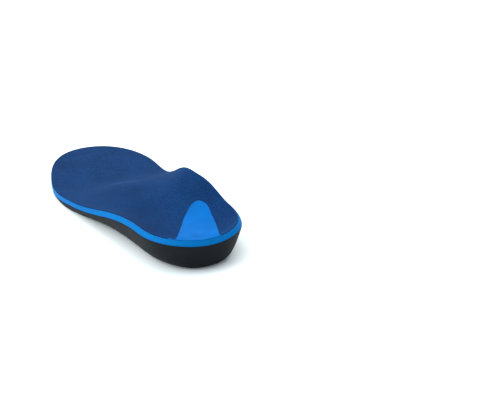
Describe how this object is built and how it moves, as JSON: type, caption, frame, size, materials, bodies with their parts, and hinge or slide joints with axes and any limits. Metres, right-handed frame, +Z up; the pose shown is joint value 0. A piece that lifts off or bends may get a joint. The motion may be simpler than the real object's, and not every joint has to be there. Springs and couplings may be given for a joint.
{
  "type": "cushioned insole",
  "caption": "Contoured full-length shoe insole with a deep heel cup, raised inner arch, knit cover, foam cushion with an exposed coloured edge, and a moulded base.",
  "frame": {"origin": "middle of the insole's length and width, on the surface it rests on", "axes": "+Y to the toes, +X to the inner (big toe) side of the foot, +Z up"},
  "size_m": [0.1041, 0.271, 0.0356],
  "materials": {
    "cover_knit": "brushed knit, navy",
    "inlay_film": "smooth satin film, bright blue",
    "cushion_foam": "skived closed-cell foam, bright blue",
    "pad_foam": "open-cell foam, pale grey",
    "shell_plastic": "satin, translucent grey",
    "heel_pad_rubber": "soft rubbery foam, bright blue",
    "base_eva": "matte moulded EVA foam, black"
  },
  "bodies": {
    "root": {"top_cover": "cover_knit", "heel_inlay": "inlay_film", "cushion_layer": "cushion_foam", "forefoot_pad": "pad_foam", "metatarsal_pad": "pad_foam", "arch_shell": "shell_plastic", "heel_pad": "heel_pad_rubber", "base": "base_eva"}
  },
  "joints": []
}
